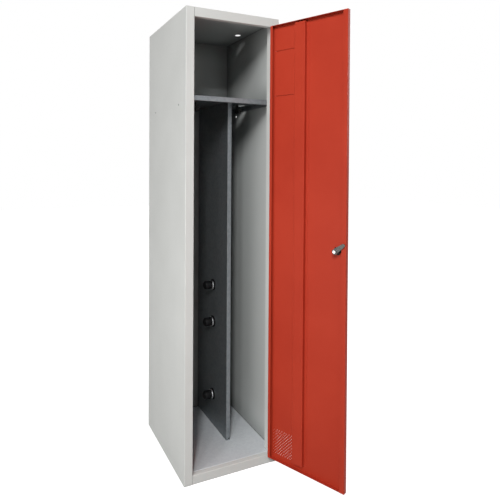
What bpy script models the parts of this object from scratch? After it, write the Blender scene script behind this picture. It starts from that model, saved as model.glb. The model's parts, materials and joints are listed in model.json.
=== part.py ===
"""Single-door steel work locker with a hat shelf and an upright divider, its door standing open.

Metres, +Z up. The origin is on the floor under the middle of the front, which faces -Y.
"""

import math

import bmesh
import bpy
from mathutils import Vector

# Carcass
HEIGHT = 1.800
WIDTH = 0.400
DEPTH = 0.480
SHEET = 0.001
BEND = 0.0008
BEND_STEPS = 3
FIT = 0.0003
THROUGH = 0.004

# Front frame round the door opening
LOCK_STILE = 0.034
HINGE_STILE = 0.028
LINTEL = 0.035
SILL = 0.034
FRAME_RETURN = 0.022
HINGE_RETURN = 0.045
RAIL_LIP = 0.010
REAR_FLANGE = 0.020

# Roof and floor trays
ROOF_FLANGE = 0.015
NOTCH_CLEARANCE = 0.002
ROOF_VENT_DIAMETER = 0.025
ROOF_VENT_FROM_SIDE = 0.045
ROOF_VENT_FROM_FRONT = 0.280
FLOOR_LIP = 0.018

# Holes in the sides for bolting lockers into a row
JOIN_HOLE_DIAMETER = 0.008
JOIN_HOLE_BELOW_SHELF = 0.038
JOIN_HOLE_FROM_FRONT = 0.080
JOIN_HOLE_PITCH = 0.300

# Hat shelf
SHELF_BELOW_TOP = 0.3207
SHELF_SETBACK = 0.0465
SHELF_LIP = 0.020
SHELF_LIP_RETURN = 0.012
SHELF_UPSTAND = 0.015
SHELF_VENT_DIAMETER = 0.050
SHELF_VENT_FROM_SIDE = 0.044
SHELF_VENT_FROM_FRONT = 0.260

# Divider between the two hanging spaces
DIVIDER_FROM_LEFT = 0.249
DIVIDER_SETBACK = 0.158
DIVIDER_FLANGE = 0.0185
DIVIDER_HEM = 0.010
DIVIDER_REAR_FLANGE = 0.018

# Pegs on the divider
PEG_HEIGHTS = (0.173, 0.504, 0.670)
PEG_FROM_FRONT = 0.303
PEG_FLANGE_DIAMETER = 0.050
PEG_FLANGE_THICKNESS = 0.005
PEG_COLLAR_DIAMETER = 0.045
PEG_COLLAR_THICKNESS = 0.006
PEG_COLLAR_STEPS = 6
PEG_NECK_DIAMETER = 0.018
PEG_NECK_LENGTH = 0.003
PEG_KNOB_DIAMETER = 0.038
PEG_KNOB_LENGTH = 0.030
PEG_KNOB_FLAT = 0.55
PEG_DOME_STEPS = 5
PEG_EDGE = 0.001
PEG_SIDES = 24

# Coat hooks under the shelf
HOOK_STRIP = 0.014
HOOK_THICKNESS = 0.0025
HOOK_PLATE = 0.026
HOOK_DROP = 0.040
HOOK_REACH = 0.030
HOOK_TIP = 0.018
HOOK_BEND = 0.006
HOOK_FROM_FRONT = 0.222

# Door
DOOR_GAP = 0.002
DOOR_TRAY = 0.018
DOOR_LOCK_LIP = 0.018
DOOR_HINGE_LIP = 0.012
DOOR_OPEN_DEG = 114.0
RIB_FROM_HINGE_EDGE = 0.115
RIB_WIDTH = 0.043
RIB_FLANGE = 0.010
RIB_BELOW_LIP = 0.001
RIB_FROM_BOTTOM = 0.024
RIB_FROM_TOP = 0.008
LOUVRES_BELOW_TOP = (0.276, 0.098)
LOUVRE_FROM_HINGE_EDGE = 0.016
LOUVRE_LENGTH = 0.086
LOUVRE_SLOT = 0.003
LOUVRE_RISE = 0.003
VENT_COLUMNS = 8
VENT_ROWS = 16
VENT_HOLE = 0.0026
VENT_PITCH = 0.0112
VENT_ROW_PITCH = 0.0062
VENT_FROM_HINGE_EDGE = 0.018
VENT_FROM_BOTTOM = 0.022
SMALL_HOLE_SIDES = 6

# Hinges
HINGE_FROM_DOOR_END = 0.214
HINGE_LENGTH = 0.060
KNUCKLES = 3
KNUCKLE_DIAMETER = 0.0084
KNUCKLE_GAP = 0.0004
KNUCKLE_SIDES = 16
LEAF_THICKNESS = 0.0015
LEAF_WIDTH = 0.020
PIN_DIAMETER = 0.0048
PIN_HEAD_DIAMETER = 0.0072
PIN_HEAD = 0.0018

# Cam lock
LOCK_HEIGHT = 0.901
LOCK_FROM_FREE_EDGE = 0.041
BARREL_DIAMETER = 0.018
BARREL_HEAD_DIAMETER = 0.026
BARREL_HEAD = 0.003
BARREL_HEAD_EDGE = 0.001
NUT_FLATS = 0.026
NUT_THICKNESS = 0.006
PLUG_DIAMETER = 0.012
PLUG_PROUD = 0.001
KEY_SLOT_LENGTH = 0.007
KEY_SLOT_WIDTH = 0.0018
KEY_SLOT_DEPTH = 0.0016
STUB_DIAMETER = 0.008
CAM_THICKNESS = 0.0022
CAM_HUB_DIAMETER = 0.020
CAM_TIP_DIAMETER = 0.012
CAM_REACH = 0.042
CAM_BEHIND_RETURN = 0.001
CAM_REST_DEG = 38.0
BOLT_FLATS = 0.012
BOLT_HEAD = 0.005
BOLT_EDGE = 0.0008
HEX = 6
ROUND_SIDES = 24
SMOOTH_DEG = 40.0

# Places that follow from the driving sizes
LEFT = -WIDTH / 2
RIGHT = WIDTH / 2
FRONT = 0.0
BACK = DEPTH
BACK_SHEET = BACK - 2 * SHEET - FIT
TRAY_BACK = BACK_SHEET - FIT
INNER_LEFT = LEFT + SHEET + FIT
INNER_RIGHT = RIGHT - SHEET - FIT
OPENING_LEFT = LEFT + LOCK_STILE
OPENING_RIGHT = RIGHT - HINGE_STILE
OPENING_TOP = HEIGHT - LINTEL
RAIL_BACK = FRONT + FRAME_RETURN
SHELF_FRONT = FRONT + SHELF_SETBACK
SHELF_TOP = HEIGHT - SHELF_BELOW_TOP
UNDER_SHELF = SHELF_TOP - SHEET - FIT
DIVIDER_X = LEFT + DIVIDER_FROM_LEFT
DIVIDER_FRONT = FRONT + DIVIDER_SETBACK

# The hinge axis stands in front of the door gap, so the door clears its stile at every angle
KNUCKLE_RADIUS = KNUCKLE_DIAMETER / 2
SKIN = KNUCKLE_RADIUS + 2 * FIT
SKIN_INNER = SKIN + SHEET
AXIS_X = OPENING_RIGHT - DOOR_GAP / 2
AXIS_Y = FRONT - SKIN
HINGE_EDGE = -DOOR_GAP / 2
FREE_EDGE = OPENING_LEFT + DOOR_GAP - AXIS_X
DOOR_LIP = SKIN + DOOR_TRAY
DOOR_BOTTOM = SILL + DOOR_GAP
DOOR_TOP = OPENING_TOP - DOOR_GAP
HINGE_HEIGHTS = (
    DOOR_BOTTOM + HINGE_FROM_DOOR_END,
    (DOOR_BOTTOM + DOOR_TOP) / 2,
    DOOR_TOP - HINGE_FROM_DOOR_END,
)
LOCK_X = FREE_EDGE + LOCK_FROM_FREE_EDGE
CAM_Y = SKIN + FRAME_RETURN + CAM_BEHIND_RETURN

for old in list(bpy.data.objects):
    bpy.data.objects.remove(old, do_unlink=True)


def finish(name, colour, roughness, metallic):
    """Principled material of one finish."""
    made = bpy.data.materials.new(name)
    made.use_nodes = True
    shader = made.node_tree.nodes["Principled BSDF"]
    shader.inputs["Base Color"].default_value = (*colour, 1.0)
    shader.inputs["Roughness"].default_value = roughness
    shader.inputs["Metallic"].default_value = metallic
    return made


GREY_COAT = finish("grey_powder_coat", (0.68, 0.69, 0.68), 0.45, 0.0)
RED_COAT = finish("red_powder_coat", (0.50, 0.045, 0.028), 0.42, 0.0)
BLACK_PLASTIC = finish("black_plastic", (0.012, 0.012, 0.013), 0.40, 0.0)
BRIGHT_STEEL = finish("bright_steel", (0.62, 0.62, 0.60), 0.30, 1.0)

# How (u, v) in a plane and w along its normal lie in space
PLANES = {
    "XY": lambda u, v, w: (u, v, w),
    "YZ": lambda u, v, w: (w, u, v),
    "XZ": lambda u, v, w: (u, w, v),
}


def empty(name, place, parent=None):
    """Axis marker that carries the pieces of one moving body."""
    marker = bpy.data.objects.new(name, None)
    marker.location = place
    marker.parent = parent
    bpy.context.scene.collection.objects.link(marker)
    return marker


def solid(name, shape, material, parent=None, place=(0.0, 0.0, 0.0), smooth=False):
    """Object from a bmesh, with its faces turned outwards."""
    bmesh.ops.recalc_face_normals(shape, faces=shape.faces)
    mesh = bpy.data.meshes.new(name)
    shape.to_mesh(mesh)
    shape.free()
    if smooth:
        mesh.shade_smooth()
        mesh.set_sharp_from_angle(angle=math.radians(SMOOTH_DEG))
    if material is not None:
        mesh.materials.append(material)
    made = bpy.data.objects.new(name, mesh)
    made.parent = parent
    made.location = place
    bpy.context.scene.collection.objects.link(made)
    return made


def combine(target, tool_shape, operation):
    """Cut a tool shape out of a piece, or weld it on."""
    name = f"{target.name}_tool_{len(target.modifiers)}"
    tool = solid(name, tool_shape, None, target.parent, target.location)
    tool.hide_render = True
    tool.display_type = "WIRE"
    change = target.modifiers.new(operation.lower(), "BOOLEAN")
    change.object = tool
    change.operation = operation
    change.solver = "EXACT"


def prism(outline, plane, start, end, shape=None):
    """Extrude a closed outline in a plane from start to end."""
    shape = shape or bmesh.new()
    place = PLANES[plane]
    near = [shape.verts.new(place(u, v, start)) for u, v in outline]
    far = [shape.verts.new(place(u, v, end)) for u, v in outline]
    shape.faces.new(near)
    shape.faces.new(far[::-1])
    for index in range(len(outline)):
        before = index - 1
        shape.faces.new((near[index], near[before], far[before], far[index]))
    return shape


def turned(profile, place, axis, sides, hollow=False):
    """Turn a profile of (along, radius) points round an axis. A hollow one closes on itself."""
    shape = bmesh.new()
    plane = {"X": "YZ", "Y": "XZ", "Z": "XY"}[axis]
    rings = []
    for along, radius in profile:
        points = [PLANES[plane](u, v, along) for u, v in circle(0.0, 0.0, 2 * radius, sides)]
        rings.append([shape.verts.new(Vector(place) + Vector(point)) for point in points])
    following = rings[1:] + rings[:1] if hollow else rings[1:]
    for ring, after in zip(rings, following):
        for index in range(sides):
            shape.faces.new((ring[index], ring[index - 1], after[index - 1], after[index]))
    if not hollow:
        shape.faces.new(rings[0])
        shape.faces.new(rings[-1])
    return shape


def rectangle(low_u, high_u, low_v, high_v):
    return [(low_u, low_v), (high_u, low_v), (high_u, high_v), (low_u, high_v)]


def circle(centre_u, centre_v, diameter, sides):
    turn = 2 * math.pi / sides
    radius = diameter / 2
    return [
        (centre_u + radius * math.cos(turn * step), centre_v + radius * math.sin(turn * step))
        for step in range(sides)
    ]


def bent(points, radii):
    """Polyline with each inner corner rounded to its radius."""
    line = [points[0]]
    for before, corner, after, radius in zip(points, points[1:], points[2:], radii):
        back = (before - corner).normalized()
        on = (after - corner).normalized()
        half = back.angle(on) / 2
        reach = radius / math.tan(half)
        centre = corner + (back + on).normalized() * (radius / math.sin(half))
        start = (corner + back * reach - centre).normalized()
        stop = (corner + on * reach - centre).normalized()
        for step in range(BEND_STEPS + 1):
            line.append(centre + start.slerp(stop, step / BEND_STEPS) * radius)
    line.append(points[-1])
    return line


def folded(path, thickness=SHEET, bend=BEND):
    """Closed outline of a folded sheet that lies to the left of the path its face follows."""
    face = [Vector(point) for point in path]
    runs = [(after - before).normalized() for before, after in zip(face, face[1:])]
    normals = [Vector((-run.y, run.x)) for run in runs]
    other = [face[0] + normals[0] * thickness]
    face_radii = []
    other_radii = []
    for corner, run, next_run, normal, next_normal in zip(face[1:], runs, runs[1:], normals, normals[1:]):
        mitre = (normal + next_normal) / (1 + normal.dot(next_normal))
        other.append(corner + mitre * thickness)
        turns_left = run.cross(next_run) > 0
        face_radii.append(bend + thickness if turns_left else bend)
        other_radii.append(bend if turns_left else bend + thickness)
    other.append(face[-1] + normals[-1] * thickness)
    outline = bent(face, face_radii) + bent(other, other_radii)[::-1]
    return [tuple(point) for point in outline]


def side_panel(name, outer, inward, stile, stile_return):
    """Side wall folded round the front stile and the rear flange."""
    edge = outer + inward * stile
    return_back = FRONT + stile_return
    path = [
        (outer + inward * REAR_FLANGE, BACK),
        (outer, BACK),
        (outer, FRONT),
        (edge, FRONT),
        (edge, return_back),
    ]
    panel = solid(name, prism(folded(path[::inward]), "XY", 0.0, HEIGHT), GREY_COAT)
    # The stile's return stops under the flange of the roof and clears the floor tray
    under_roof = HEIGHT - ROOF_FLANGE - NOTCH_CLEARANCE
    for notch_front, low, high in (
        (FRONT + SHEET + BEND / 2, under_roof, HEIGHT + NOTCH_CLEARANCE),
        (RAIL_BACK - NOTCH_CLEARANCE, -NOTCH_CLEARANCE, SILL + NOTCH_CLEARANCE),
    ):
        notch = rectangle(
            edge - SHEET - NOTCH_CLEARANCE,
            edge + SHEET + NOTCH_CLEARANCE,
            notch_front,
            return_back + NOTCH_CLEARANCE,
        )
        combine(panel, prism(notch, "XY", low, high), "DIFFERENCE")
    holes = bmesh.new()
    hole_z = SHELF_TOP - JOIN_HOLE_BELOW_SHELF
    for hole in range(2):
        hole_y = FRONT + JOIN_HOLE_FROM_FRONT + hole * JOIN_HOLE_PITCH
        ring = circle(hole_y, hole_z, JOIN_HOLE_DIAMETER, KNUCKLE_SIDES)
        prism(ring, "YZ", outer - THROUGH, outer + THROUGH, holes)
    combine(panel, holes, "DIFFERENCE")


def vent_pair(panel, top, diameter, from_side, from_front):
    """One round air hole near each side of a level sheet."""
    holes = bmesh.new()
    for hole_x in (LEFT + from_side, RIGHT - from_side):
        ring = circle(hole_x, FRONT + from_front, diameter, ROUND_SIDES)
        prism(ring, "XY", top - THROUGH, top + THROUGH, holes)
    combine(panel, holes, "DIFFERENCE")


def carcass():
    """Folded sheets of the cabinet and the rails that join its stiles."""
    side_panel("left_side_panel", LEFT, 1, LOCK_STILE, FRAME_RETURN)
    side_panel("right_side_panel", RIGHT, -1, HINGE_STILE, HINGE_RETURN)

    sheet = rectangle(LEFT + SHEET + BEND, RIGHT - SHEET - BEND, 0.0, HEIGHT)
    solid("back_panel", prism(sheet, "XZ", BACK_SHEET, BACK_SHEET + SHEET), GREY_COAT)

    roof_front = FRONT + SHEET + BEND
    path = [
        (TRAY_BACK, HEIGHT - ROOF_FLANGE),
        (TRAY_BACK, HEIGHT),
        (roof_front, HEIGHT),
        (roof_front, HEIGHT - ROOF_FLANGE),
    ]
    roof = solid("roof_panel", prism(folded(path), "YZ", INNER_LEFT, INNER_RIGHT), GREY_COAT)
    vent_pair(roof, HEIGHT, ROOF_VENT_DIAMETER, ROOF_VENT_FROM_SIDE, ROOF_VENT_FROM_FRONT)

    floor_front = RAIL_BACK + FIT
    path = [
        (TRAY_BACK - FLOOR_LIP, 0.0),
        (TRAY_BACK, 0.0),
        (TRAY_BACK, SILL),
        (floor_front, SILL),
        (floor_front, 0.0),
        (floor_front + FLOOR_LIP, 0.0),
    ]
    solid("floor_panel", prism(folded(path), "YZ", INNER_LEFT, INNER_RIGHT), GREY_COAT)

    rail_left = OPENING_LEFT + FIT
    rail_right = OPENING_RIGHT - FIT
    path = [
        (FRONT, HEIGHT),
        (FRONT, OPENING_TOP),
        (RAIL_BACK, OPENING_TOP),
        (RAIL_BACK, OPENING_TOP + RAIL_LIP),
    ]
    solid("top_rail", prism(folded(path), "YZ", rail_left, rail_right), GREY_COAT)
    path = [
        (RAIL_BACK, SILL - RAIL_LIP),
        (RAIL_BACK, SILL),
        (FRONT, SILL),
        (FRONT, 0.0),
        (FRONT + FLOOR_LIP, 0.0),
    ]
    solid("bottom_rail", prism(folded(path), "YZ", rail_left, rail_right), GREY_COAT)


def hat_shelf():
    """Shelf with a folded front lip, flanges down both sides and an upstand at the back."""
    path = [
        (TRAY_BACK - SHEET, SHELF_TOP + SHELF_UPSTAND),
        (TRAY_BACK - SHEET, SHELF_TOP),
        (SHELF_FRONT, SHELF_TOP),
        (SHELF_FRONT, SHELF_TOP - SHELF_LIP),
        (SHELF_FRONT + SHELF_LIP_RETURN, SHELF_TOP - SHELF_LIP),
    ]
    shelf = solid("hat_shelf", prism(folded(path), "YZ", INNER_LEFT, INNER_RIGHT), GREY_COAT)
    flange = rectangle(
        SHELF_FRONT + SHEET / 2,
        TRAY_BACK - REAR_FLANGE,
        SHELF_TOP - SHELF_LIP + SHEET / 2,
        SHELF_TOP - SHEET / 2,
    )
    for start in (INNER_LEFT, INNER_RIGHT - SHEET):
        combine(shelf, prism(flange, "YZ", start, start + SHEET), "UNION")
    vent_pair(shelf, SHELF_TOP, SHELF_VENT_DIAMETER, SHELF_VENT_FROM_SIDE, SHELF_VENT_FROM_FRONT)


def vertical_divider():
    """Upright sheet between the hanging spaces, with a hemmed front flange."""
    path = [
        (DIVIDER_X + DIVIDER_REAR_FLANGE, TRAY_BACK),
        (DIVIDER_X, TRAY_BACK),
        (DIVIDER_X, DIVIDER_FRONT),
        (DIVIDER_X + DIVIDER_FLANGE, DIVIDER_FRONT),
        (DIVIDER_X + DIVIDER_FLANGE, DIVIDER_FRONT + DIVIDER_HEM),
    ]
    solid("vertical_divider", prism(folded(path), "XY", SILL + FIT, UNDER_SHELF), GREY_COAT)


def pegs():
    """Black knobs on bright rounded collars, standing off the left face of the divider."""
    flange = PEG_FLANGE_DIAMETER / 2
    flange_face = DIVIDER_X - FIT
    flange_front = flange_face - PEG_FLANGE_THICKNESS
    flange_profile = [
        (flange_face, flange),
        (flange_front + PEG_EDGE, flange),
        (flange_front, flange - PEG_EDGE),
    ]
    collar_face = flange_front - FIT
    collar_front = collar_face - PEG_COLLAR_THICKNESS
    half = PEG_COLLAR_THICKNESS / 2
    collar_profile = []
    for step in range(PEG_COLLAR_STEPS + 1):
        angle = math.pi * step / PEG_COLLAR_STEPS
        radius = PEG_COLLAR_DIAMETER / 2 - half * (1 - math.sin(angle))
        collar_profile.append((collar_face - half * (1 - math.cos(angle)), radius))
    neck_face = collar_front - FIT
    knob_face = neck_face - PEG_NECK_LENGTH
    knob = PEG_KNOB_DIAMETER / 2
    dome = PEG_KNOB_LENGTH / 3
    tip = knob_face - PEG_KNOB_LENGTH
    knob_profile = [
        (neck_face, PEG_NECK_DIAMETER / 2),
        (knob_face, PEG_NECK_DIAMETER / 2),
        (knob_face, knob - PEG_EDGE),
        (knob_face - PEG_EDGE, knob),
    ]
    for step in range(PEG_DOME_STEPS):
        angle = step * math.pi / 2 / (PEG_DOME_STEPS - 1)
        radius = knob * (PEG_KNOB_FLAT + (1 - PEG_KNOB_FLAT) * math.cos(angle))
        knob_profile.append((tip + dome * (1 - math.sin(angle)), radius))
    for number, height in enumerate(PEG_HEIGHTS, start=1):
        place = (0.0, FRONT + PEG_FROM_FRONT, height)
        for part, profile, material in (
            ("flange", flange_profile, BLACK_PLASTIC),
            ("collar", collar_profile, BRIGHT_STEEL),
            ("knob", knob_profile, BLACK_PLASTIC),
        ):
            shape = turned(profile, place, "X", PEG_SIDES)
            solid(f"peg_{number}_{part}", shape, material, smooth=True)


def coat_hooks():
    """Bent strip hooks under the shelf, one in the middle of each hanging space."""
    drop = FRONT + HOOK_FROM_FRONT
    low = UNDER_SHELF - HOOK_DROP
    path = [
        (drop + HOOK_PLATE, UNDER_SHELF),
        (drop, UNDER_SHELF),
        (drop, low),
        (drop - HOOK_REACH, low),
        (drop - HOOK_REACH, low + HOOK_TIP),
    ]
    outline = folded(path, HOOK_THICKNESS, HOOK_BEND)
    left_middle = (LEFT + DIVIDER_X) / 2
    right_middle = (DIVIDER_X + RIGHT) / 2
    for name, middle in (("coat_hook_left", left_middle), ("coat_hook_right", right_middle)):
        shape = prism(outline, "YZ", middle - HOOK_STRIP / 2, middle + HOOK_STRIP / 2)
        solid(name, shape, BRIGHT_STEEL)


def door_skin(hinge):
    """Folded tray with lips on its long edges, louvres, a field of air holes and the lock hole."""
    path = [
        (FREE_EDGE + DOOR_LOCK_LIP, DOOR_LIP),
        (FREE_EDGE, DOOR_LIP),
        (FREE_EDGE, SKIN),
        (HINGE_EDGE, SKIN),
        (HINGE_EDGE, DOOR_LIP),
        (HINGE_EDGE - DOOR_HINGE_LIP, DOOR_LIP),
    ]
    skin = solid("door_skin", prism(folded(path), "XY", DOOR_BOTTOM, DOOR_TOP), RED_COAT, hinge)
    half = SHEET / 2
    end_return = rectangle(FREE_EDGE + half, HINGE_EDGE - half, SKIN + half, DOOR_LIP - half)
    for low in (DOOR_BOTTOM, DOOR_TOP - SHEET):
        combine(skin, prism(end_return, "XY", low, low + SHEET), "UNION")

    slot_right = HINGE_EDGE - LOUVRE_FROM_HINGE_EDGE
    slot_left = slot_right - LOUVRE_LENGTH
    for drop in LOUVRES_BELOW_TOP:
        height = DOOR_TOP - drop
        slot = rectangle(slot_left, slot_right, height - LOUVRE_SLOT, height)
        combine(skin, prism(slot, "XZ", SKIN - THROUGH, SKIN + THROUGH), "DIFFERENCE")
        hood = [
            (SKIN + half, height + SHEET),
            (SKIN - LOUVRE_RISE, height - half),
            (SKIN - LOUVRE_RISE, height - LOUVRE_SLOT),
        ]
        combine(skin, prism(folded(hood), "YZ", slot_left, slot_right), "UNION")

    holes = bmesh.new()
    for row in range(VENT_ROWS):
        hole_z = DOOR_BOTTOM + VENT_FROM_BOTTOM + row * VENT_ROW_PITCH
        row_start = HINGE_EDGE - VENT_FROM_HINGE_EDGE - row % 2 * VENT_PITCH / 2
        for column in range(VENT_COLUMNS):
            ring = circle(row_start - column * VENT_PITCH, hole_z, VENT_HOLE, SMALL_HOLE_SIDES)
            prism(ring, "XZ", SKIN - THROUGH, SKIN + THROUGH, holes)
    combine(skin, holes, "DIFFERENCE")
    ring = circle(LOCK_X, LOCK_HEIGHT, BARREL_DIAMETER + 2 * FIT, ROUND_SIDES)
    combine(skin, prism(ring, "XZ", SKIN - THROUGH, SKIN + THROUGH), "DIFFERENCE")


def door_stiffener(hinge):
    """Hat channel down the inside of the door skin."""
    base = SKIN_INNER + FIT
    crown = DOOR_LIP - RIB_BELOW_LIP - SHEET
    near = HINGE_EDGE - RIB_FROM_HINGE_EDGE
    far = near - RIB_WIDTH
    path = [
        (far - RIB_FLANGE, base),
        (far, base),
        (far, crown),
        (near, crown),
        (near, base),
        (near + RIB_FLANGE, base),
    ]
    low = DOOR_BOTTOM + RIB_FROM_BOTTOM
    shape = prism(folded(path), "XY", low, DOOR_TOP - RIB_FROM_TOP)
    solid("door_stiffener", shape, RED_COAT, hinge)


def leaf_outline(direction, tabs):
    """Hinge leaf seen from the front, with a tab that runs under each of its knuckles."""
    inner = direction * (KNUCKLE_RADIUS + KNUCKLE_GAP)
    outer = inner + direction * LEAF_WIDTH
    outline = [(outer, 0.0), (outer, HINGE_LENGTH)]
    if tabs[-1][1] < HINGE_LENGTH:
        outline.append((inner, HINGE_LENGTH))
    for number, (start, stop) in enumerate(reversed(tabs)):
        if number or stop < HINGE_LENGTH:
            outline.append((inner, stop))
        outline += [(0.0, stop), (0.0, start)]
        if start > 0.0:
            outline.append((inner, start))
    if tabs[0][0] > 0.0:
        outline.append((inner, 0.0))
    return outline


def hinges(hinge):
    """Knuckle hinges: a leaf on the stile, a leaf on the door and the pin through both."""
    low_end = HINGE_LENGTH / KNUCKLES
    high_end = HINGE_LENGTH - low_end
    frame_tabs = [(0.0, low_end - KNUCKLE_GAP), (high_end + KNUCKLE_GAP, HINGE_LENGTH)]
    door_tabs = [(low_end, high_end)]
    leaf_back = SKIN - FIT
    pin = PIN_DIAMETER / 2
    head = PIN_HEAD_DIAMETER / 2
    pin_profile = [
        (-FIT - PIN_HEAD, head),
        (-FIT, head),
        (-FIT, pin),
        (HINGE_LENGTH + FIT, pin),
        (HINGE_LENGTH + FIT, head),
        (HINGE_LENGTH + FIT + PIN_HEAD, head),
    ]
    for number, height in enumerate(HINGE_HEIGHTS, start=1):
        low = height - HINGE_LENGTH / 2
        on_frame = (AXIS_X, AXIS_Y, low)
        on_door = (0.0, 0.0, low)
        for side, direction, tabs, parent, place, material in (
            ("frame", 1, frame_tabs, None, on_frame, GREY_COAT),
            ("door", -1, door_tabs, hinge, on_door, RED_COAT),
        ):
            shape = prism(leaf_outline(direction, tabs), "XZ", leaf_back - LEAF_THICKNESS, leaf_back)
            leaf = solid(f"hinge_{number}_{side}_leaf", shape, material, parent, place)
            knuckle = circle(0.0, 0.0, KNUCKLE_DIAMETER, KNUCKLE_SIDES)
            for start, stop in tabs:
                combine(leaf, prism(knuckle, "XY", start, stop), "UNION")
            bore = circle(0.0, 0.0, PIN_DIAMETER + 2 * FIT, KNUCKLE_SIDES)
            combine(leaf, prism(bore, "XY", -THROUGH, HINGE_LENGTH + THROUGH), "DIFFERENCE")
        shape = turned(pin_profile, (0.0, 0.0, 0.0), "Z", KNUCKLE_SIDES)
        solid(f"hinge_{number}_pin", shape, BRIGHT_STEEL, None, on_frame, smooth=True)


def across_corners(flats):
    return flats / math.cos(math.pi / HEX)


def lock(hinge):
    """Cam lock: flanged barrel and nut fixed in the door, plug, cam and bolt that turn in it."""
    place = (LOCK_X, 0.0, LOCK_HEIGHT)
    barrel = BARREL_DIAMETER / 2
    bore = PLUG_DIAMETER / 2 + FIT
    head = BARREL_HEAD_DIAMETER / 2
    head_back = SKIN - FIT
    head_front = head_back - BARREL_HEAD
    barrel_end = CAM_Y - FIT
    profile = [
        (head_front, bore),
        (head_front, head - BARREL_HEAD_EDGE),
        (head_front + BARREL_HEAD_EDGE, head),
        (head_back, head),
        (head_back, barrel),
        (barrel_end, barrel),
        (barrel_end, bore),
    ]
    shape = turned(profile, place, "Y", ROUND_SIDES, hollow=True)
    solid("lock_barrel", shape, BRIGHT_STEEL, hinge, smooth=True)

    nut_face = SKIN_INNER + FIT
    hexagon = circle(LOCK_X, LOCK_HEIGHT, across_corners(NUT_FLATS), HEX)
    shape = prism(hexagon, "XZ", nut_face, nut_face + NUT_THICKNESS)
    nut = solid("lock_nut", shape, BLACK_PLASTIC, hinge)
    hole = circle(LOCK_X, LOCK_HEIGHT, BARREL_DIAMETER + 2 * FIT, ROUND_SIDES)
    combine(nut, prism(hole, "XZ", nut_face - THROUGH, nut_face + NUT_THICKNESS + THROUGH), "DIFFERENCE")

    turn = empty("lock_axis", place, hinge)
    turn.rotation_euler.y = math.radians(CAM_REST_DEG)
    plug = PLUG_DIAMETER / 2
    stub = STUB_DIAMETER / 2
    plug_front = head_front - PLUG_PROUD
    cam_back = CAM_Y + CAM_THICKNESS
    profile = [(plug_front, plug), (barrel_end, plug), (barrel_end, stub), (cam_back + FIT, stub)]
    shape = turned(profile, (0.0, 0.0, 0.0), "Y", ROUND_SIDES)
    core = solid("lock_plug", shape, BRIGHT_STEEL, turn, smooth=True)
    length = KEY_SLOT_LENGTH / 2
    width = KEY_SLOT_WIDTH / 2
    slot = rectangle(-length, length, -width, width)
    combine(core, prism(slot, "XZ", plug_front - THROUGH, plug_front + KEY_SLOT_DEPTH), "DIFFERENCE")

    # Teardrop arm that points towards the free edge of the door
    hub = CAM_HUB_DIAMETER / 2
    tip = CAM_TIP_DIAMETER / 2
    lean = math.asin((hub - tip) / CAM_REACH)
    quarter = math.pi / 2
    steps = ROUND_SIDES // 2
    outline = []
    for centre, radius, start, sweep in (
        (0.0, hub, -quarter - lean, math.pi + 2 * lean),
        (-CAM_REACH, tip, quarter + lean, math.pi - 2 * lean),
    ):
        for step in range(steps + 1):
            angle = start + sweep * step / steps
            outline.append((centre + radius * math.cos(angle), radius * math.sin(angle)))
    cam = solid("lock_cam", prism(outline, "XZ", CAM_Y, cam_back), BRIGHT_STEEL, turn)
    hole = circle(0.0, 0.0, STUB_DIAMETER + 2 * FIT, ROUND_SIDES)
    combine(cam, prism(hole, "XZ", CAM_Y - THROUGH, cam_back + THROUGH), "DIFFERENCE")

    bolt_face = cam_back + 2 * FIT
    hexagon = circle(0.0, 0.0, across_corners(BOLT_FLATS), HEX)
    bolt = solid("cam_bolt", prism(hexagon, "XZ", bolt_face, bolt_face + BOLT_HEAD), BRIGHT_STEEL, turn)
    edge = bolt.modifiers.new("eased_edges", "BEVEL")
    edge.width = BOLT_EDGE
    edge.segments = 1


carcass()
hat_shelf()
vertical_divider()
pegs()
coat_hooks()
door_hinge = empty("door_hinge", (AXIS_X, AXIS_Y, 0.0))
door_hinge.rotation_euler.z = math.radians(DOOR_OPEN_DEG)
door_skin(door_hinge)
door_stiffener(door_hinge)
hinges(door_hinge)
lock(door_hinge)
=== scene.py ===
import json
import math

import bmesh
import bpy
from bpy.props import FloatProperty, FloatVectorProperty, IntProperty, PointerProperty, StringProperty
from mathutils import Matrix, Vector


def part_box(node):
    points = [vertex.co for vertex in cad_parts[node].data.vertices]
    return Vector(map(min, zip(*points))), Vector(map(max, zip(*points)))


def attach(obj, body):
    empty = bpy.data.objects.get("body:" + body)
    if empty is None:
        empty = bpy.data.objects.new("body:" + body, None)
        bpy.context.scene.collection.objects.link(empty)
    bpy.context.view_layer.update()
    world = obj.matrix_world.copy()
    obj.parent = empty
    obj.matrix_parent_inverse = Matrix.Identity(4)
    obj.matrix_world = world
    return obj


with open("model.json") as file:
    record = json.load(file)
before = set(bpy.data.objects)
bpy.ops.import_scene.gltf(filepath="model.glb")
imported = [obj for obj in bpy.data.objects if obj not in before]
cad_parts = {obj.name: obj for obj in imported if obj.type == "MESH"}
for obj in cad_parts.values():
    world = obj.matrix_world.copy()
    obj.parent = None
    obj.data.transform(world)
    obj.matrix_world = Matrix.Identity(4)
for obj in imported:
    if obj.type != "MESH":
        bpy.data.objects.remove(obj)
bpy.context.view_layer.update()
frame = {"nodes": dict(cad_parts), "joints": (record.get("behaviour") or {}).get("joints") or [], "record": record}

bl_info = {
    "name": "Steel work locker",
    "version": (1, 0, 0),
    "blender": (4, 5, 0),
    "location": "3D View > Sidebar > Locker",
    "description": "Finishes, rivets, weld marks and a studio for a single-door steel locker",
    "category": "Object",
}

NODES = frame["nodes"]
HOOKS = ("coat_hook_left", "coat_hook_right")
HINGES = (1, 2, 3)
DOOR_JOINT = next(joint for joint in frame["joints"] if joint["child"] == "door")
HINGE_AXIS = Vector(DOOR_JOINT["pos_m"])
DOOR_REST = math.radians(-DOOR_JOINT["range_deg"][0])
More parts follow.
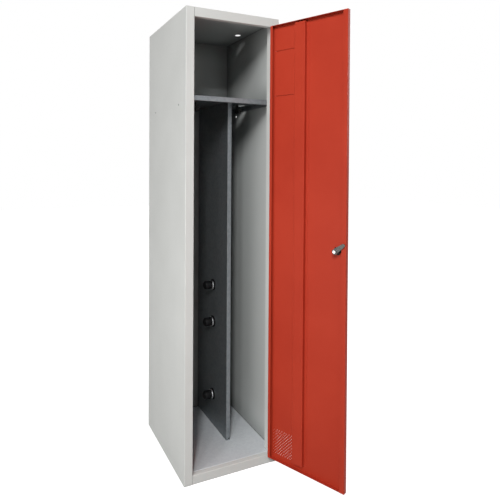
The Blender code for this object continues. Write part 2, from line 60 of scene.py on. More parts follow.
# Takes a place measured from the hinge axis of the shut door to where it is on the open door
SHUT_TO_OPEN = (
    Matrix.Translation((HINGE_AXIS.x, HINGE_AXIS.y, 0.0))
    @ Matrix.Rotation(DOOR_REST, 4, "Z")
)
FORWARD = Vector((0.0, -1.0, 0.0))
BACKWARD = Vector((0.0, 1.0, 0.0))
DOWN = Vector((0.0, 0.0, -1.0))
WHITE = (1.0, 1.0, 1.0, 1.0)
# Colour sockets of a Mix node, which shares their names with its other types
MIX_A, MIX_B, MIX_RESULT = 6, 7, 2
CORNER_SAMPLES = 8
BEND_SAMPLES = 4
SENSOR_WIDTH_MM = 36.0
PICTURE_MIDDLE = 0.5
CLIP_RANGE = (0.05, 100.0)


def linear(code):
    """Linear RGBA from an sRGB hex code."""
    channels = [int(code[index:index + 2], 16) / 255 for index in (1, 3, 5)]
    curve = [c / 12.92 if c <= 0.04045 else ((c + 0.055) / 1.055) ** 2.4 for c in channels]
    return (*curve, 1.0)


def add(tree, kind, values=None, links=None, **settings):
    """New node with its settings, its socket values and its links."""
    made = tree.nodes.new(kind)
    for key, value in settings.items():
        setattr(made, key, value)
    for socket, value in (values or {}).items():
        made.inputs[socket].default_value = value
    for socket, source in (links or {}).items():
        tree.links.new(source, made.inputs[socket])
    return made


class LockerFinishes(bpy.types.PropertyGroup):
    """Colours and patterns of the paint, metal and plastic."""

    grey: StringProperty(name="Grey coat", description="Carcass paint", default="#CFD0CD")
    grey_shade: StringProperty(
        name="Grey shade", description="Darker cloud in the carcass paint", default="#CBCCC9")
    grey_edge: StringProperty(name="Grey edge", description="Carcass paint along bends", default="#DEDFDC")
    # Painted shade: grey inside is the darker colour given to the carcass's inner faces
    grey_inside_shade: StringProperty(
        name="Grey inside", description="Thin coat inside the carcass", default="#B4B7B5")
    # Painted shade and dust: brightness left where the seam darkening is full
    grey_seam_dirt_and_shade: FloatProperty(
        name="Grey soil", description="Brightness left in a seam of the carcass",
        default=0.4, min=0.0, max=1.0, subtype="FACTOR")
    red: StringProperty(name="Red coat", description="Door paint", default="#B03824")
    red_shade: StringProperty(
        name="Red shade", description="Darker cloud in the door paint", default="#AA3421")
    red_edge: StringProperty(name="Red edge", description="Door paint along bends", default="#C24933")
    # Painted shade and dust in the door's folds
    red_seam_dirt_and_shade: FloatProperty(
        name="Red soil", description="Brightness left in a fold of the door",
        default=0.95, min=0.0, max=1.0, subtype="FACTOR")
    sheet: StringProperty(name="Bare sheet", description="Galvanised shelf and divider", default="#858A8D")
    sheet_shade: StringProperty(
        name="Sheet shade", description="Duller spangle of the bare sheet", default="#777C80")
    sheet_metal: FloatProperty(
        name="Sheet metal", description="How metallic the bare sheet looks",
        default=0.8, min=0.0, max=1.0, subtype="FACTOR")
    tray: StringProperty(name="Floor sheet", description="Weathered galvanised floor", default="#DCE0E3")
    tray_shade: StringProperty(
        name="Floor shade", description="Duller spangle of the floor", default="#D5D9DD")
    tray_metal: FloatProperty(
        name="Floor metal", description="How metallic the weathered floor looks",
        default=0.25, min=0.0, max=1.0, subtype="FACTOR")
    zinc: StringProperty(name="Zinc", description="Bright plated steel", default="#DDDEDF")
    zinc_shade: StringProperty(name="Zinc shade", description="Duller plating", default="#B4B7B9")
    passivated: StringProperty(
        name="Passivated", description="Cam and foot screw, and the hooks' coat along bends",
        default="#5C5D5B")
    passivated_shade: StringProperty(
        name="Passivated shade", description="Darker patch of the cam, and the hooks' coat",
        default="#343533")
    # Painted shade and dust in the hooks' bends
    hook_seam_dirt_and_shade: FloatProperty(
        name="Hook soil", description="Brightness left in the bends of a hook",
        default=0.85, min=0.0, max=1.0, subtype="FACTOR")
    black: StringProperty(name="Black", description="Moulded plastic", default="#0B0B0C")
    black_rubbed: StringProperty(
        name="Black rubbed", description="Rubbed plastic, and the darker cloud in the hooks' coat",
        default="#1D1D1F")
    peel: FloatProperty(
        name="Peel", description="Width of the paint's ripples", default=0.006, unit="LENGTH")
    cloud: FloatProperty(
        name="Cloud", description="Width of the paint's soft clouds", default=0.22, unit="LENGTH")
    edge: FloatProperty(
        name="Edge", description="Reach of the paler line at a bend", default=0.0016, unit="LENGTH")
    # Painted shade and dust: how far the seam darkening reaches
    seam: FloatProperty(
        name="Seam", description="Reach of the dirt in a seam", default=0.007, unit="LENGTH")
    # Painted shade inside the carcass: reach of the AO that darkens its corners, and below, where the inner shade
    # starts behind the front and the depth over which it comes in
    inside_shade_reach: FloatProperty(
        name="Recess", description="Reach of the thinner coat in a corner", default=0.10, unit="LENGTH")
    unshaded_depth: FloatProperty(
        name="Frame depth", description="How far back from the front the coat is full",
        default=0.05, unit="LENGTH")
    fade: FloatProperty(
        name="Fade", description="Depth over which the coat gets thin behind the frame",
        default=0.06, unit="LENGTH")
    spangle: FloatProperty(
        name="Spangle", description="Width of a zinc crystal on the sheet", default=0.009, unit="LENGTH")
    dull: FloatProperty(
        name="Dull", description="Width of the duller patches on the sheet", default=0.06, unit="LENGTH")
    mottle: FloatProperty(
        name="Mottle", description="Width of the patches in the plating", default=0.008, unit="LENGTH")
    scuff: FloatProperty(
        name="Scuff", description="Width of the scuffs on the plating", default=0.0012, unit="LENGTH")
    grain: FloatProperty(
        name="Grain", description="Width of the plastic's grain", default=0.0015, unit="LENGTH")


class LockerFittings(bpy.types.PropertyGroup):
    """Sizes and places of the small repeated fittings."""

    rivet: FloatProperty(name="Rivet head", description="Diameter", default=0.0062, unit="LENGTH")
    rivet_rise: FloatProperty(
        name="Rivet rise", description="Height of the head", default=0.0013, unit="LENGTH")
    leaf_row: FloatProperty(
        name="Leaf row", description="From the hinge axis to the rivets of a leaf",
        default=0.0145, unit="LENGTH")
    leaf_face: FloatProperty(
        name="Leaf face", description="From the hinge axis back to the face of a leaf",
        default=0.0030, unit="LENGTH")
    leaf_share: FloatProperty(
        name="Leaf share", description="From a leaf's end to its rivet, as a share of the leaf",
        default=0.22, min=0.0, max=0.5, subtype="FACTOR")
    hook_inset: FloatProperty(
        name="Hook inset", description="From the rear end of a hook to its rivet",
        default=0.012, unit="LENGTH")
    hook_strip: FloatProperty(
        name="Hook strip", description="Thickness of a hook's strip", default=0.0025, unit="LENGTH")
    weld: FloatProperty(name="Weld mark", description="Diameter", default=0.0055, unit="LENGTH")
    weld_rise: FloatProperty(
        name="Weld rise", description="Height of the mark", default=0.00035, unit="LENGTH")
    weld_pitch: FloatProperty(
        name="Weld pitch", description="Distance between marks", default=0.115, unit="LENGTH")
    weld_inset: FloatProperty(
        name="Weld inset", description="From the outside of the side wall", default=0.010, unit="LENGTH")
    sides: IntProperty(name="Sides", description="Facets round a head", default=16, min=8)
    rings: IntProperty(name="Rings", description="Facets from front to back of a head", default=8, min=4)


class LockerStage(bpy.types.PropertyGroup):
    """Camera, lamps and floor."""

    eye: FloatVectorProperty(
        name="Eye", description="Where the camera stands", default=(-0.8213, -1.6627, 1.2077),
        subtype="TRANSLATION", unit="LENGTH")
    yaw: FloatProperty(
        name="Yaw", description="Turn to the left", default=-0.4279, subtype="ANGLE", unit="ROTATION")
    pitch: FloatProperty(
        name="Pitch", description="Tilt up", default=-0.0147, subtype="ANGLE", unit="ROTATION")
    roll: FloatProperty(name="Roll", description="Roll", default=0.0051, subtype="ANGLE", unit="ROTATION")
    focal: FloatProperty(name="Focal length", description="In picture widths", default=0.953)
    centre: FloatVectorProperty(
        name="Centre", description="Lens axis in the picture, in widths from the top left",
        size=2, default=(0.438, 0.3454))
    aim: FloatVectorProperty(
        name="Aim", description="Point that the softboxes face", default=(0.0, 0.1, 1.0),
        subtype="TRANSLATION", unit="LENGTH")
    distance: FloatProperty(
        name="Distance", description="From the locker to the softboxes", default=4.5, unit="LENGTH")
    side_distance: FloatProperty(
        name="Side distance", description="From the locker to the softbox at the side",
        default=1.6, unit="LENGTH")
    near: FloatProperty(
        name="Near", description="Power of the softbox by the camera", default=170.0, unit="POWER")
    key: FloatProperty(
        name="Key", description="Power of the softbox front left", default=75.0, unit="POWER")
    left: FloatProperty(
        name="Left", description="Power of the high softbox on the left", default=40.0, unit="POWER")
    side: FloatProperty(
        name="Side", description="Power of the low softbox at the side", default=9.5, unit="POWER")
    fill: FloatProperty(
        name="Fill", description="Power of the softbox facing the front", default=5.0, unit="POWER")
    right: FloatProperty(
        name="Right", description="Power of the softbox on the right", default=110.0, unit="POWER")
    behind: FloatProperty(
        name="Behind", description="Power of the softbox at the back", default=130.0, unit="POWER")
    ambient: FloatProperty(name="Ambient", description="Light of the room", default=0.03)
    floor: StringProperty(name="Floor", description="Floor colour", default="#9A9A99")
    floor_reach: FloatProperty(
        name="Floor reach", description="From the locker to the floor's edge", default=12.0, unit="LENGTH")
    floor_drop: FloatProperty(
        name="Floor drop", description="Gap that keeps the floor clear of the locker's lips",
        default=0.0005, unit="LENGTH")
    glow: FloatProperty(
        name="Glow", description="What the white background adds to the floor by the locker", default=0.84)
    glow_start: FloatProperty(
        name="Glow start", description="Distance from which the floor gets whiter",
        default=0.7, unit="LENGTH")
    glow_full: FloatProperty(
        name="Glow full", description="Distance from which the floor is white", default=2.6, unit="LENGTH")


def within_carcass(tree, place):
    """Mask of the painted shade inside the carcass: 1 on the sheets' faces inside it, 0 on its outer skin and on
    the frame round the opening.
    """
    finishes = bpy.context.scene.locker_finishes
    low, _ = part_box("left_side_panel")
    _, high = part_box("right_side_panel")
    back_low, back_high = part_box("back_panel")
    half_sheet = (back_high.y - back_low.y) / 2
    start = low.y + finishes.unshaded_depth
    axes = add(tree, "ShaderNodeSeparateXYZ", None, {0: place}).outputs
    across = add(tree, "ShaderNodeMath", None, {0: axes["X"]}, operation="ABSOLUTE").outputs[0]
    inside = add(
        tree, "ShaderNodeMapRange", {"From Min": start, "From Max": start + finishes.fade},
        {"Value": axes["Y"]}, interpolation_type="SMOOTHSTEP").outputs["Result"]
    for way, limit in (
        (across, high.x - half_sheet),
        (axes["Y"], back_low.y + half_sheet),
        (axes["Z"], high.z - half_sheet),
    ):
        under = add(tree, "ShaderNodeMath", {1: limit}, {0: way}, operation="LESS_THAN")
        inside = add(
            tree, "ShaderNodeMath", None, {0: inside, 1: under.outputs[0]}, operation="MULTIPLY").outputs[0]
    return inside


def new_finish(name):
    """New material, its node tree, its shader and the Object coordinates for its patterns."""
    material = bpy.data.materials.new(name)
    material.use_nodes = True
    tree = material.node_tree
    place = add(tree, "ShaderNodeTexCoord").outputs["Object"]
    return material, tree, tree.nodes["Principled BSDF"], place


def to_shader(tree, shader, colour, roughness, normal):
    """Link a finish's colour, roughness and relief to its shader."""
    tree.links.new(colour, shader.inputs["Base Color"])
    tree.links.new(roughness, shader.inputs["Roughness"])
    tree.links.new(normal, shader.inputs["Normal"])


def powder_coat(name, body, shade, edge, seam_brightness, alone, inside=None):
    """Powder-coated sheet steel: an even, nearly matt skin with a fine ripple, paler where it thins on bends,
    and darkened in the seams by dust and painted shade, and inside the carcass by painted shade when given an
    inside colour. Seam brightness is the brightness left in a seam; alone counts only a piece's own folds."""
    finishes = bpy.context.scene.locker_finishes
    coat, tree, shader, place = new_finish(name)
    shader.inputs["IOR"].default_value = 1.5
    shader.inputs["Specular IOR Level"].default_value = 0.15
    cloud = add(tree, "ShaderNodeTexNoise", {"Scale": 1 / finishes.cloud, "Detail": 4.0}, {"Vector": place})
    # The real ripple is about 1.5 mm wide, drawn wider so that it shows at this size
    peel = add(tree, "ShaderNodeTexNoise", {"Scale": 1 / finishes.peel, "Detail": 2.0}, {"Vector": place})
    clouded = add(
        tree, "ShaderNodeMapRange", {"From Min": 0.35, "From Max": 0.65}, {"Value": cloud.outputs["Fac"]})
    tone = add(
        tree, "ShaderNodeMix", {MIX_A: linear(body), MIX_B: linear(shade)},
        {"Factor": clouded.outputs["Result"]}, data_type="RGBA")
    toned = tone.outputs[MIX_RESULT]
    if inside:
        # Painted shade: the faces inside the box take a darker colour, darker still in the corners where the AO
        # finds sheets close by
        inside_shade_ao = add(
            tree, "ShaderNodeAmbientOcclusion", {"Distance": finishes.inside_shade_reach}, samples=CORNER_SAMPLES)
        inside_shade_factor = add(
            tree, "ShaderNodeMapRange",
            {"From Min": 0.4, "From Max": 0.95, "To Min": 0.5, "To Max": 1.0},
            {"Value": inside_shade_ao.outputs["AO"]})
        painted_inside_shade = add(
            tree, "ShaderNodeVectorMath", {0: linear(inside)[:3]}, {"Scale": inside_shade_factor.outputs["Result"]},
            operation="SCALE")
        inside_shade_mix = add(
            tree, "ShaderNodeMix", None,
            {"Factor": within_carcass(tree, place), MIX_A: toned, MIX_B: painted_inside_shade.outputs["Vector"]},
            data_type="RGBA")
        toned = inside_shade_mix.outputs[MIX_RESULT]
    bevel = add(tree, "ShaderNodeBevel", {"Radius": finishes.edge}, samples=BEND_SAMPLES)
    flat = add(tree, "ShaderNodeNewGeometry")
    bend = add(
        tree, "ShaderNodeVectorMath", None,
        {0: bevel.outputs["Normal"], 1: flat.outputs["Normal"]}, operation="DOT_PRODUCT")
    worn = add(
        tree, "ShaderNodeMapRange",
        {"From Min": 0.995, "From Max": 0.80, "To Min": 0.0, "To Max": 0.8},
        {"Value": bend.outputs["Value"]})
    coloured = add(
        tree, "ShaderNodeMix", {MIX_B: linear(edge)},
        {"Factor": worn.outputs["Result"], MIX_A: toned}, data_type="RGBA")
    gloss = add(
        tree, "ShaderNodeMapRange",
        {"From Min": 0.3, "From Max": 0.7, "To Min": 0.46, "To Max": 0.58}, {"Value": peel.outputs["Fac"]})
    ripple = add(
        tree, "ShaderNodeBump", {"Strength": 0.12, "Distance": 0.0006}, {"Height": peel.outputs["Fac"]})
    # Dust and painted shade darken the coat where sheets meet and in folds
    corner = add(
        tree, "ShaderNodeAmbientOcclusion", {"Distance": finishes.seam},
        samples=CORNER_SAMPLES, only_local=alone)
    seam_dirt_and_shade = add(
        tree, "ShaderNodeMapRange",
        {"From Min": 0.45, "From Max": 0.85, "To Min": seam_brightness, "To Max": 1.0},
        {"Value": corner.outputs["AO"]})
    dirt_and_shade_on_colour = add(
        tree, "ShaderNodeVectorMath", None,
        {0: coloured.outputs[MIX_RESULT], "Scale": seam_dirt_and_shade.outputs["Result"]}, operation="SCALE")
    to_shader(tree, shader, dirt_and_shade_on_colour.outputs["Vector"], gloss.outputs["Result"], ripple.outputs["Normal"])
    return coat


def galvanised_sheet(name, body, shade, metallic):
    """Hot-dip galvanised sheet: a dull blue-grey metal with faint spangle, its reflections blurred."""
    finishes = bpy.context.scene.locker_finishes
    metal, tree, shader, place = new_finish(name)
    shader.inputs["Metallic"].default_value = metallic
    spangle = add(tree, "ShaderNodeTexVoronoi", {"Scale": 1 / finishes.spangle}, {"Vector": place})
    cloud = add(tree, "ShaderNodeTexNoise", {"Scale": 1 / finishes.dull, "Detail": 4.0}, {"Vector": place})
    crystal = add(tree, "ShaderNodeSeparateColor", None, {"Color": spangle.outputs["Color"]})
    tone = add(
        tree, "ShaderNodeMix", {MIX_A: linear(body), MIX_B: linear(shade)},
        {"Factor": crystal.outputs[0]}, data_type="RGBA")
    gloss = add(
        tree, "ShaderNodeMapRange", {"To Min": 0.42, "To Max": 0.56}, {"Value": cloud.outputs["Fac"]})
    relief = add(
        tree, "ShaderNodeBump", {"Strength": 0.05, "Distance": 0.0003}, {"Height": cloud.outputs["Fac"]})
    to_shader(tree, shader, tone.outputs[MIX_RESULT], gloss.outputs["Result"], relief.outputs["Normal"])
    return metal


def plated_steel(name, body, shade):
    """Zinc-plated steel: bright, slightly blurred reflections, faintly mottled and scuffed."""
    finishes = bpy.context.scene.locker_finishes
    metal, tree, shader, place = new_finish(name)
    shader.inputs["Metallic"].default_value = 1.0
    mottle = add(
        tree, "ShaderNodeTexNoise", {"Scale": 1 / finishes.mottle, "Detail": 4.0}, {"Vector": place})
    scuff = add(tree, "ShaderNodeTexNoise", {"Scale": 1 / finishes.scuff, "Detail": 2.0}, {"Vector": place})
    tone = add(
        tree, "ShaderNodeMix", {MIX_A: linear(body), MIX_B: linear(shade)},
        {"Factor": mottle.outputs["Fac"]}, data_type="RGBA")
    gloss = add(
        tree, "ShaderNodeMapRange", {"To Min": 0.18, "To Max": 0.36}, {"Value": mottle.outputs["Fac"]})
    relief = add(
        tree, "ShaderNodeBump", {"Strength": 0.08, "Distance": 0.0002}, {"Height": scuff.outputs["Fac"]})
    to_shader(tree, shader, tone.outputs[MIX_RESULT], gloss.outputs["Result"], relief.outputs["Normal"])
    return metal


def moulded_plastic(name, body, rubbed):
    """Moulded nylon: dark with a soft sheen, fine-grained, greyer in rubbed flecks."""
    finishes = bpy.context.scene.locker_finishes
    plastic, tree, shader, place = new_finish(name)
    shader.inputs["IOR"].default_value = 1.53
    shader.inputs["Specular IOR Level"].default_value = 0.15
    grain = add(tree, "ShaderNodeTexNoise", {"Scale": 1 / finishes.grain, "Detail": 3.0}, {"Vector": place})
    fleck = add(
        tree, "ShaderNodeMapRange", {"From Min": 0.45, "From Max": 0.75}, {"Value": grain.outputs["Fac"]})
    tone = add(
        tree, "ShaderNodeMix", {MIX_A: linear(body), MIX_B: linear(rubbed)},
        {"Factor": fleck.outputs["Result"]}, data_type="RGBA")
    gloss = add(
        tree, "ShaderNodeMapRange", {"To Min": 0.36, "To Max": 0.52}, {"Value": grain.outputs["Fac"]})
    relief = add(
        tree, "ShaderNodeBump", {"Strength": 0.1, "Distance": 0.0003}, {"Height": grain.outputs["Fac"]})
    to_shader(tree, shader, tone.outputs[MIX_RESULT], gloss.outputs["Result"], relief.outputs["Normal"])
    return plastic


def dress(names, material):
    """Give CAD nodes a finish."""
    for name in names:
        node = NODES[name]
        if not node.material_slots:
            node.data.materials.append(material)
        for place in node.material_slots:
            place.material = material


def in_slot(slot):
    """Names of the CAD nodes that the record gives a material slot."""
    return [part["node"] for part in frame["record"]["subparts"] if part["material_slot"] == slot]


class LOCKER_OT_carcass(bpy.types.Operator):
    """Paint the sheets and hinge leaves of the carcass, and leave shelf, divider and floor galvanised"""

    bl_idname = "locker.carcass"
    bl_label = "Carcass paint"

    def execute(self, context):
        finishes = context.scene.locker_finishes
        # The grey coat darkens the carcass's inner faces and seams with painted shade
        coat = powder_coat(
            "light_grey_powder_coat", finishes.grey, finishes.grey_shade, finishes.grey_edge,
            finishes.grey_seam_dirt_and_shade, False, finishes.grey_inside_shade)
        dress(in_slot("grey_coat"), coat)
        bare = galvanised_sheet(
            "galvanised_sheet_steel", finishes.sheet, finishes.sheet_shade, finishes.sheet_metal)
        dress(("hat_shelf", "vertical_divider"), bare)
        tray = galvanised_sheet(
            "weathered_galvanised_floor", finishes.tray, finishes.tray_shade, finishes.tray_metal)
        dress(("floor_panel",), tray)
        return {"FINISHED"}


class LOCKER_OT_door(bpy.types.Operator):
    """Paint the door, its stiffener and its hinge leaves"""

    bl_idname = "locker.door"
    bl_label = "Door paint"

    def execute(self, context):
        finishes = context.scene.locker_finishes
        coat = powder_coat(
            "red_powder_coat", finishes.red, finishes.red_shade, finishes.red_edge, finishes.red_seam_dirt_and_shade, True)
        dress(in_slot("red_coat"), coat)
        return {"FINISHED"}


class LOCKER_OT_metalwork(bpy.types.Operator):
    """Plate the lock, pins and collars, coat the hooks and give knobs, flanges and nut their plastic"""

    bl_idname = "locker.metalwork"
    bl_label = "Lock, hooks and pegs"

    def execute(self, context):
        finishes = context.scene.locker_finishes
        bright = plated_steel("bright_zinc_plated_steel", finishes.zinc, finishes.zinc_shade)
        dress(in_slot("bright_steel"), bright)
        dull = plated_steel("black_passivated_steel", finishes.passivated, finishes.passivated_shade)
        dress(("lock_cam",), dull)
        dark = powder_coat(
            "dark_grey_powder_coat", finishes.passivated_shade, finishes.black_rubbed, finishes.passivated,
            finishes.hook_seam_dirt_and_shade, True)
        dress(HOOKS, dark)
        plastic = moulded_plastic("black_moulded_nylon", finishes.black, finishes.black_rubbed)
        dress(in_slot("black_plastic"), plastic)
        return {"FINISHED"}


def heads_tree(name, material):
    """Geometry nodes: one low domed head on each point, turned to the direction that the point holds."""
    tree = bpy.data.node_groups.new(name, "GeometryNodeTree")
    for label, kind in (
        ("Geometry", "NodeSocketGeometry"),
        ("Diameter", "NodeSocketFloat"),
        ("Rise", "NodeSocketFloat"),
        ("Sides", "NodeSocketInt"),
        ("Rings", "NodeSocketInt"),
    ):
        tree.interface.new_socket(label, in_out="INPUT", socket_type=kind)
    tree.interface.new_socket("Geometry", in_out="OUTPUT", socket_type="NodeSocketGeometry")
    source = add(tree, "NodeGroupInput").outputs
    half = add(tree, "ShaderNodeMath", {1: 0.5}, {0: source["Diameter"]}, operation="MULTIPLY")
    flatten = add(
        tree, "ShaderNodeMath", None, {0: source["Rise"], 1: half.outputs[0]}, operation="DIVIDE")
    ball = add(
        tree, "GeometryNodeMeshUVSphere", None,
        {"Segments": source["Sides"], "Rings": source["Rings"], "Radius": half.outputs[0]})
    size = add(tree, "ShaderNodeCombineXYZ", {"X": 1.0, "Y": 1.0}, {"Z": flatten.outputs[0]})
    head = add(
        tree, "GeometryNodeTransform", None, {"Geometry": ball.outputs["Mesh"], "Scale": size.outputs[0]})
    smooth = add(tree, "GeometryNodeSetShadeSmooth", None, {"Geometry": head.outputs["Geometry"]})
    facing = add(tree, "GeometryNodeInputNamedAttribute", {"Name": "facing"}, data_type="FLOAT_VECTOR")
    aim = add(
        tree, "FunctionNodeAlignRotationToVector", None, {"Vector": facing.outputs["Attribute"]}, axis="Z")
    placed = add(
        tree, "GeometryNodeInstanceOnPoints", None,
        {
            "Points": source["Geometry"],
            "Instance": smooth.outputs["Geometry"],
            "Rotation": aim.outputs["Rotation"],
        })
    real = add(tree, "GeometryNodeRealizeInstances", None, {"Geometry": placed.outputs["Instances"]})
    painted = add(
        tree, "GeometryNodeSetMaterial", {"Material": material}, {"Geometry": real.outputs["Geometry"]})
    add(tree, "NodeGroupOutput", None, {"Geometry": painted.outputs["Geometry"]})
    return tree


def heads(name, spots, diameter, rise, material, body):
    """Set a head on each (place, facing) spot and let the lot ride on a body."""
    scene = bpy.context.scene
    sizes = scene.locker_fittings
    mesh = bpy.data.meshes.new(f"{name}_points")
    mesh.from_pydata([tuple(place) for place, _ in spots], [], [])
    aim = mesh.attributes.new("facing", "FLOAT_VECTOR", "POINT")
    for point, (_, facing) in zip(aim.data, spots):
        point.vector = facing
    carrier = bpy.data.objects.new(f"{name}_points", mesh)
    scene.collection.objects.link(carrier)
    tree = heads_tree(f"{name}_heads", material)
    change = carrier.modifiers.new("heads", "NODES")
    change.node_group = tree
    inputs = {item.name: item.identifier for item in tree.interface.items_tree if item.in_out == "INPUT"}
    change[inputs["Diameter"]] = diameter
    change[inputs["Rise"]] = rise
    change[inputs["Sides"]] = sizes.sides
    change[inputs["Rings"]] = sizes.rings
    bpy.context.view_layer.update()
    evaluated = carrier.evaluated_get(bpy.context.evaluated_depsgraph_get())
    result = bpy.data.meshes.new_from_object(evaluated)
    bpy.data.objects.remove(carrier)
    result.name = name
    result.attributes.remove(result.attributes["facing"])
    piece = bpy.data.objects.new(name, result)
    scene.collection.objects.link(piece)
    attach(piece, body)


class LOCKER_OT_rivets(bpy.types.Operator):
    """Rivets through the hinge leaves and the coat hooks"""

    bl_idname = "locker.rivets"
    bl_label = "Rivets"

    def execute(self, context):
        sizes = context.scene.locker_fittings
        metal = bpy.data.materials["bright_zinc_plated_steel"]
        opened = SHUT_TO_OPEN.to_3x3() @ FORWARD
        on_frame = []
        on_door = []
        for number in HINGES:
            low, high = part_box(f"hinge_{number}_frame_leaf")
            for share in (sizes.leaf_share, 1 - sizes.leaf_share):
                height = low.z + (high.z - low.z) * share
                spot = Vector((HINGE_AXIS.x + sizes.leaf_row, HINGE_AXIS.y + sizes.leaf_face, height))
                on_frame.append((spot, FORWARD))
                shut = Vector((-sizes.leaf_row, sizes.leaf_face, height))
                on_door.append((SHUT_TO_OPEN @ shut, opened))
        heads(
            "hinge_rivets_frame", on_frame, sizes.rivet, sizes.rivet_rise, metal, "carcass")
        heads("hinge_rivets_door", on_door, sizes.rivet, sizes.rivet_rise, metal, "door")
        on_hooks = []
        for name in HOOKS:
            low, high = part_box(name)
            middle = (low.x + high.x) / 2
            spot = Vector((middle, high.y - sizes.hook_inset, high.z - sizes.hook_strip))
            on_hooks.append((spot, DOWN))
        bare = bpy.data.materials["galvanised_sheet_steel"]
        heads("hook_rivets", on_hooks, sizes.rivet, sizes.rivet_rise, bare, "carcass")
        return {"FINISHED"}


class LOCKER_OT_welds(bpy.types.Operator):
    """Spot welds down the rear flanges and the screw at the foot of the divider"""

    bl_idname = "locker.welds"
    bl_label = "Welds and screw"

    def execute(self, context):
        sizes = context.scene.locker_fittings
        coat = bpy.data.materials["light_grey_powder_coat"]
        low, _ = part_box("left_side_panel")
        _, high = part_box("right_side_panel")
        count = int((high.z - low.z) / sizes.weld_pitch)
        first = (low.z + high.z - (count - 1) * sizes.weld_pitch) / 2
        marks = [
            (Vector((side, high.y, first + index * sizes.weld_pitch)), BACKWARD)
            for side in (low.x + sizes.weld_inset, high.x - sizes.weld_inset)
            for index in range(count)
        ]
        heads("spot_welds", marks, sizes.weld, sizes.weld_rise, coat, "carcass")
        foot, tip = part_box("vertical_divider")
        spot = Vector((tip.x - sizes.rivet, foot.y, foot.z + sizes.rivet))
        dark = bpy.data.materials["black_passivated_steel"]
        heads(
            "divider_foot_screw", [(spot, FORWARD)], sizes.rivet, sizes.rivet_rise, dark,
            "carcass")
        return {"FINISHED"}


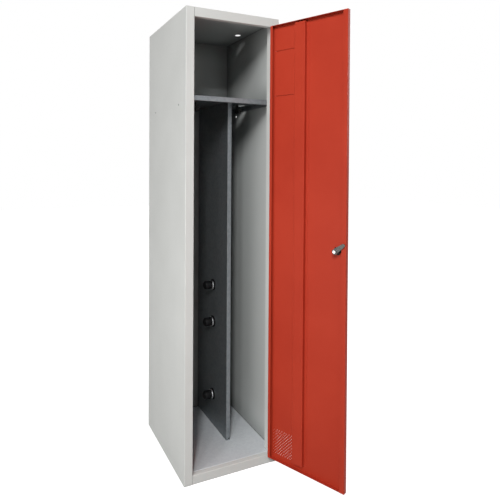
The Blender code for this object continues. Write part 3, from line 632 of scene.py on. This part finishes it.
class LOCKER_OT_stage(bpy.types.Operator):
    """Floor, lamps, room and camera"""

    bl_idname = "locker.stage"
    bl_label = "Stage"

    def execute(self, context):
        scene = context.scene
        stage = scene.locker_stage
        scene.view_settings.view_transform = "Standard"
        self.floor(scene, stage)
        self.room(scene, stage)
        # Bearings are in degrees from straight in front, positive to the right when facing the locker
        for name, bearing, distance, height, size, power in (
            ("near_softbox", -30.0, stage.distance, 4.0, (0.5, 1.7), stage.near),
            ("key_softbox", -42.0, stage.distance, 3.9, (0.6, 1.7), stage.key),
            ("left_softbox", -62.0, stage.distance, 4.6, (0.7, 0.7), stage.left),
            ("side_softbox", -67.0, stage.side_distance, 0.75, (0.6, 0.9), stage.side),
            ("fill_softbox", 10.0, stage.distance, 1.6, (0.8, 0.8), stage.fill),
            ("right_softbox", 100.0, stage.distance, 2.6, (2.0, 2.0), stage.right),
            ("behind_softbox", 165.0, stage.distance, 3.2, (2.2, 2.2), stage.behind),
        ):
            turn = math.radians(bearing)
            place = Vector((math.sin(turn) * distance, -math.cos(turn) * distance, height))
            self.lamp(scene, name, place, Vector(stage.aim), size, power)
        self.camera(scene, stage)
        return {"FINISHED"}

    def floor(self, scene, stage):
        """Sheet of white paper under the locker."""
        shape = bmesh.new()
        bmesh.ops.create_grid(shape, x_segments=1, y_segments=1, size=stage.floor_reach)
        mesh = bpy.data.meshes.new("floor")
        shape.to_mesh(mesh)
        shape.free()
        floor = bpy.data.objects.new("floor", mesh)
        floor.location.z = -stage.floor_drop
        scene.collection.objects.link(floor)
        paper, tree, shader, place = new_finish("white_paper_sweep")
        shader.inputs["Base Color"].default_value = linear(stage.floor)
        shader.inputs["Roughness"].default_value = 0.9
        # Seen by the camera, the lit paper reaches white and the shadow on it stays
        away = add(tree, "ShaderNodeVectorMath", None, {0: place}, operation="LENGTH")
        glow = add(
            tree, "ShaderNodeMapRange",
            {"From Min": stage.glow_start, "From Max": stage.glow_full, "To Min": stage.glow},
            {"Value": away.outputs["Value"]}, interpolation_type="SMOOTHSTEP")
        seen = add(
            tree, "ShaderNodeMath", None,
            {0: glow.outputs["Result"], 1: self.seen(tree)}, operation="MULTIPLY")
        tree.links.new(seen.outputs[0], shader.inputs["Emission Strength"])
        shader.inputs["Emission Color"].default_value = WHITE
        mesh.materials.append(paper)

    def seen(self, tree):
        """1 for what the camera sees, straight or in a reflection, and 0 for light that falls on things."""
        path = add(tree, "ShaderNodeLightPath")
        straight = add(
            tree, "ShaderNodeMath", None,
            {0: path.outputs["Is Camera Ray"], 1: path.outputs["Is Glossy Ray"]}, operation="MAXIMUM")
        either = add(
            tree, "ShaderNodeMath", None,
            {0: straight.outputs[0], 1: path.outputs["Is Transmission Ray"]}, operation="MAXIMUM")
        return either.outputs[0]

    def room(self, scene, stage):
        """White background that gives only a little light of its own."""
        world = bpy.data.worlds.new("studio")
        scene.world = world
        world.use_nodes = True
        tree = world.node_tree
        tree.nodes.clear()
        strength = add(
            tree, "ShaderNodeMapRange", {"To Min": stage.ambient, "To Max": 1.0}, {"Value": self.seen(tree)})
        glow = add(
            tree, "ShaderNodeBackground", {"Color": WHITE}, {"Strength": strength.outputs["Result"]})
        add(tree, "ShaderNodeOutputWorld", None, {"Surface": glow.outputs["Background"]})

    def lamp(self, scene, name, place, aim, size, power):
        """Softbox at a place, facing a point."""
        light = bpy.data.lights.new(name, "AREA")
        light.shape = "RECTANGLE"
        light.size, light.size_y = size
        light.energy = power
        lamp = bpy.data.objects.new(name, light)
        lamp.location = place
        lamp.rotation_euler = (aim - place).to_track_quat("-Z", "Y").to_euler()
        scene.collection.objects.link(lamp)

    def camera(self, scene, stage):
        """Camera at the photograph's viewing angle, shifted as its picture is."""
        lens = bpy.data.cameras.new("photo_camera")
        lens.sensor_width = SENSOR_WIDTH_MM
        lens.sensor_fit = "HORIZONTAL"
        lens.lens = stage.focal * SENSOR_WIDTH_MM
        lens.shift_x = PICTURE_MIDDLE - stage.centre[0]
        lens.shift_y = stage.centre[1] - PICTURE_MIDDLE
        lens.clip_start, lens.clip_end = CLIP_RANGE
        ahead = Vector((
            -math.sin(stage.yaw) * math.cos(stage.pitch),
            math.cos(stage.yaw) * math.cos(stage.pitch),
            math.sin(stage.pitch),
        ))
        level = Vector((math.cos(stage.yaw), math.sin(stage.yaw), 0.0))
        upward = level.cross(ahead)
        right = level * math.cos(stage.roll) + upward * math.sin(stage.roll)
        above = upward * math.cos(stage.roll) - level * math.sin(stage.roll)
        turn = Matrix((right, above, -ahead)).transposed()
        camera = bpy.data.objects.new("photo_camera", lens)
        camera.matrix_world = Matrix.Translation(stage.eye) @ turn.to_4x4()
        scene.collection.objects.link(camera)
        scene.camera = camera


class LOCKER_PT_panel(bpy.types.Panel):
    """Steps that finish the locker"""

    bl_idname = "LOCKER_PT_panel"
    bl_label = "Locker"
    bl_space_type = "VIEW_3D"
    bl_region_type = "UI"
    bl_category = "Locker"

    def draw(self, context):
        for step in STEPS:
            self.layout.operator(step.bl_idname)


STEPS = (
    LOCKER_OT_carcass,
    LOCKER_OT_door,
    LOCKER_OT_metalwork,
    LOCKER_OT_rivets,
    LOCKER_OT_welds,
    LOCKER_OT_stage,
)
GROUPS = (LockerFinishes, LockerFittings, LockerStage)


def register():
    for made in (*GROUPS, *STEPS, LOCKER_PT_panel):
        bpy.utils.register_class(made)
    bpy.types.Scene.locker_finishes = PointerProperty(type=LockerFinishes)
    bpy.types.Scene.locker_fittings = PointerProperty(type=LockerFittings)
    bpy.types.Scene.locker_stage = PointerProperty(type=LockerStage)


def unregister():
    del bpy.types.Scene.locker_stage
    del bpy.types.Scene.locker_fittings
    del bpy.types.Scene.locker_finishes
    for made in reversed((*GROUPS, *STEPS, LOCKER_PT_panel)):
        bpy.utils.unregister_class(made)


def main():
    register()
    bpy.ops.locker.carcass()
    bpy.ops.locker.door()
    bpy.ops.locker.metalwork()
    bpy.ops.locker.rivets()
    bpy.ops.locker.welds()
    bpy.ops.locker.stage()


if __name__ == "__main__":
    main()
